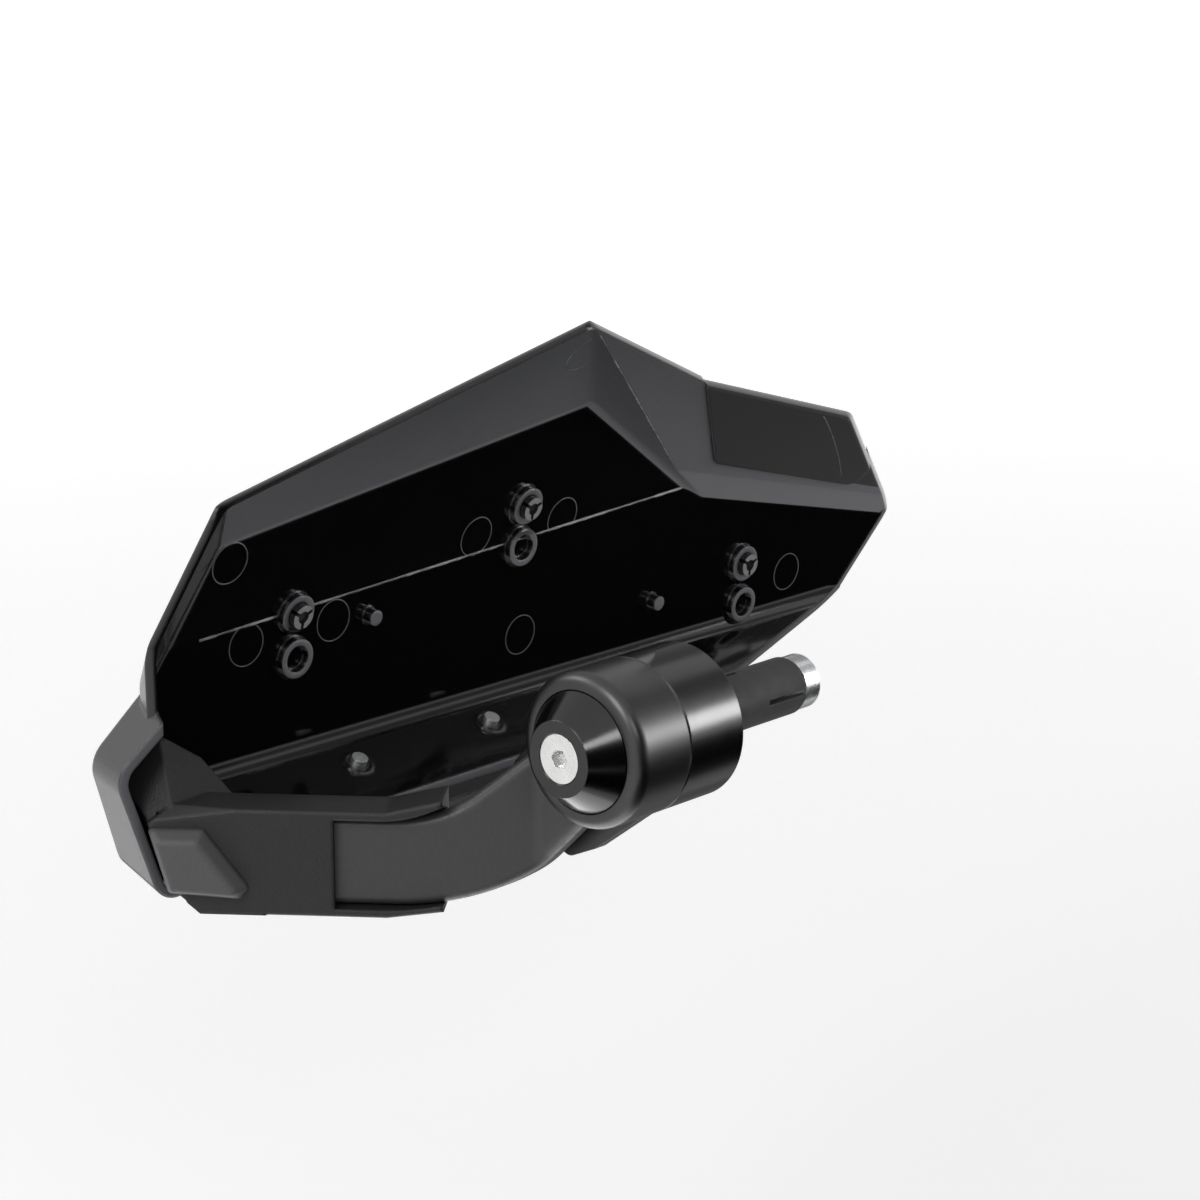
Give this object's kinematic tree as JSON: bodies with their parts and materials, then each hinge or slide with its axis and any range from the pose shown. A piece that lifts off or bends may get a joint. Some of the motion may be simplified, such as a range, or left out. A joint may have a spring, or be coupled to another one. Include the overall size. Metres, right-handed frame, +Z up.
{
  "type": "motorcycle hand guard",
  "caption": "Left-hand motorcycle hand guard: faceted black shell on a bent flat arm, clamped by an expander at the handlebar's end.",
  "frame": {"origin": "middle of the spacer's inboard face, where it meets the end of the handlebar", "axes": "+X inboard along the handlebar, +Y forward, +Z up"},
  "size_m": [0.2971, 0.1269, 0.1228],
  "materials": {
    "shell": "polished black inside, fine grain outside",
    "carrier": "grained black",
    "plug": "grained black",
    "arm": "satin black powder coat",
    "hub": "satin black",
    "cap": "black anodised",
    "spacer": "black anodised, turned",
    "bar_screw": "bright steel",
    "front_cone": "turned",
    "expander_sleeve": "black rubber",
    "cone_nut": "turned",
    "clip_bodies": "black nylon",
    "clip_pins": "black nylon",
    "foot_screws": "stainless",
    "foot_washers": "stainless",
    "foot_inserts": "blackened steel",
    "arm_bolt": "blackened steel"
  },
  "bodies": {
    "root": {"shell": "shell", "carrier": "carrier", "plug": "plug", "arm": "arm", "hub": "hub", "cap": "cap", "spacer": "spacer", "bar_screw": "bar_screw", "front_cone": "front_cone", "expander_sleeve": "expander_sleeve", "cone_nut": "cone_nut", "clip_bodies": "clip_bodies", "clip_pins": "clip_pins", "foot_screws": "foot_screws", "foot_washers": "foot_washers", "foot_inserts": "foot_inserts", "arm_bolt": "arm_bolt"}
  },
  "joints": []
}
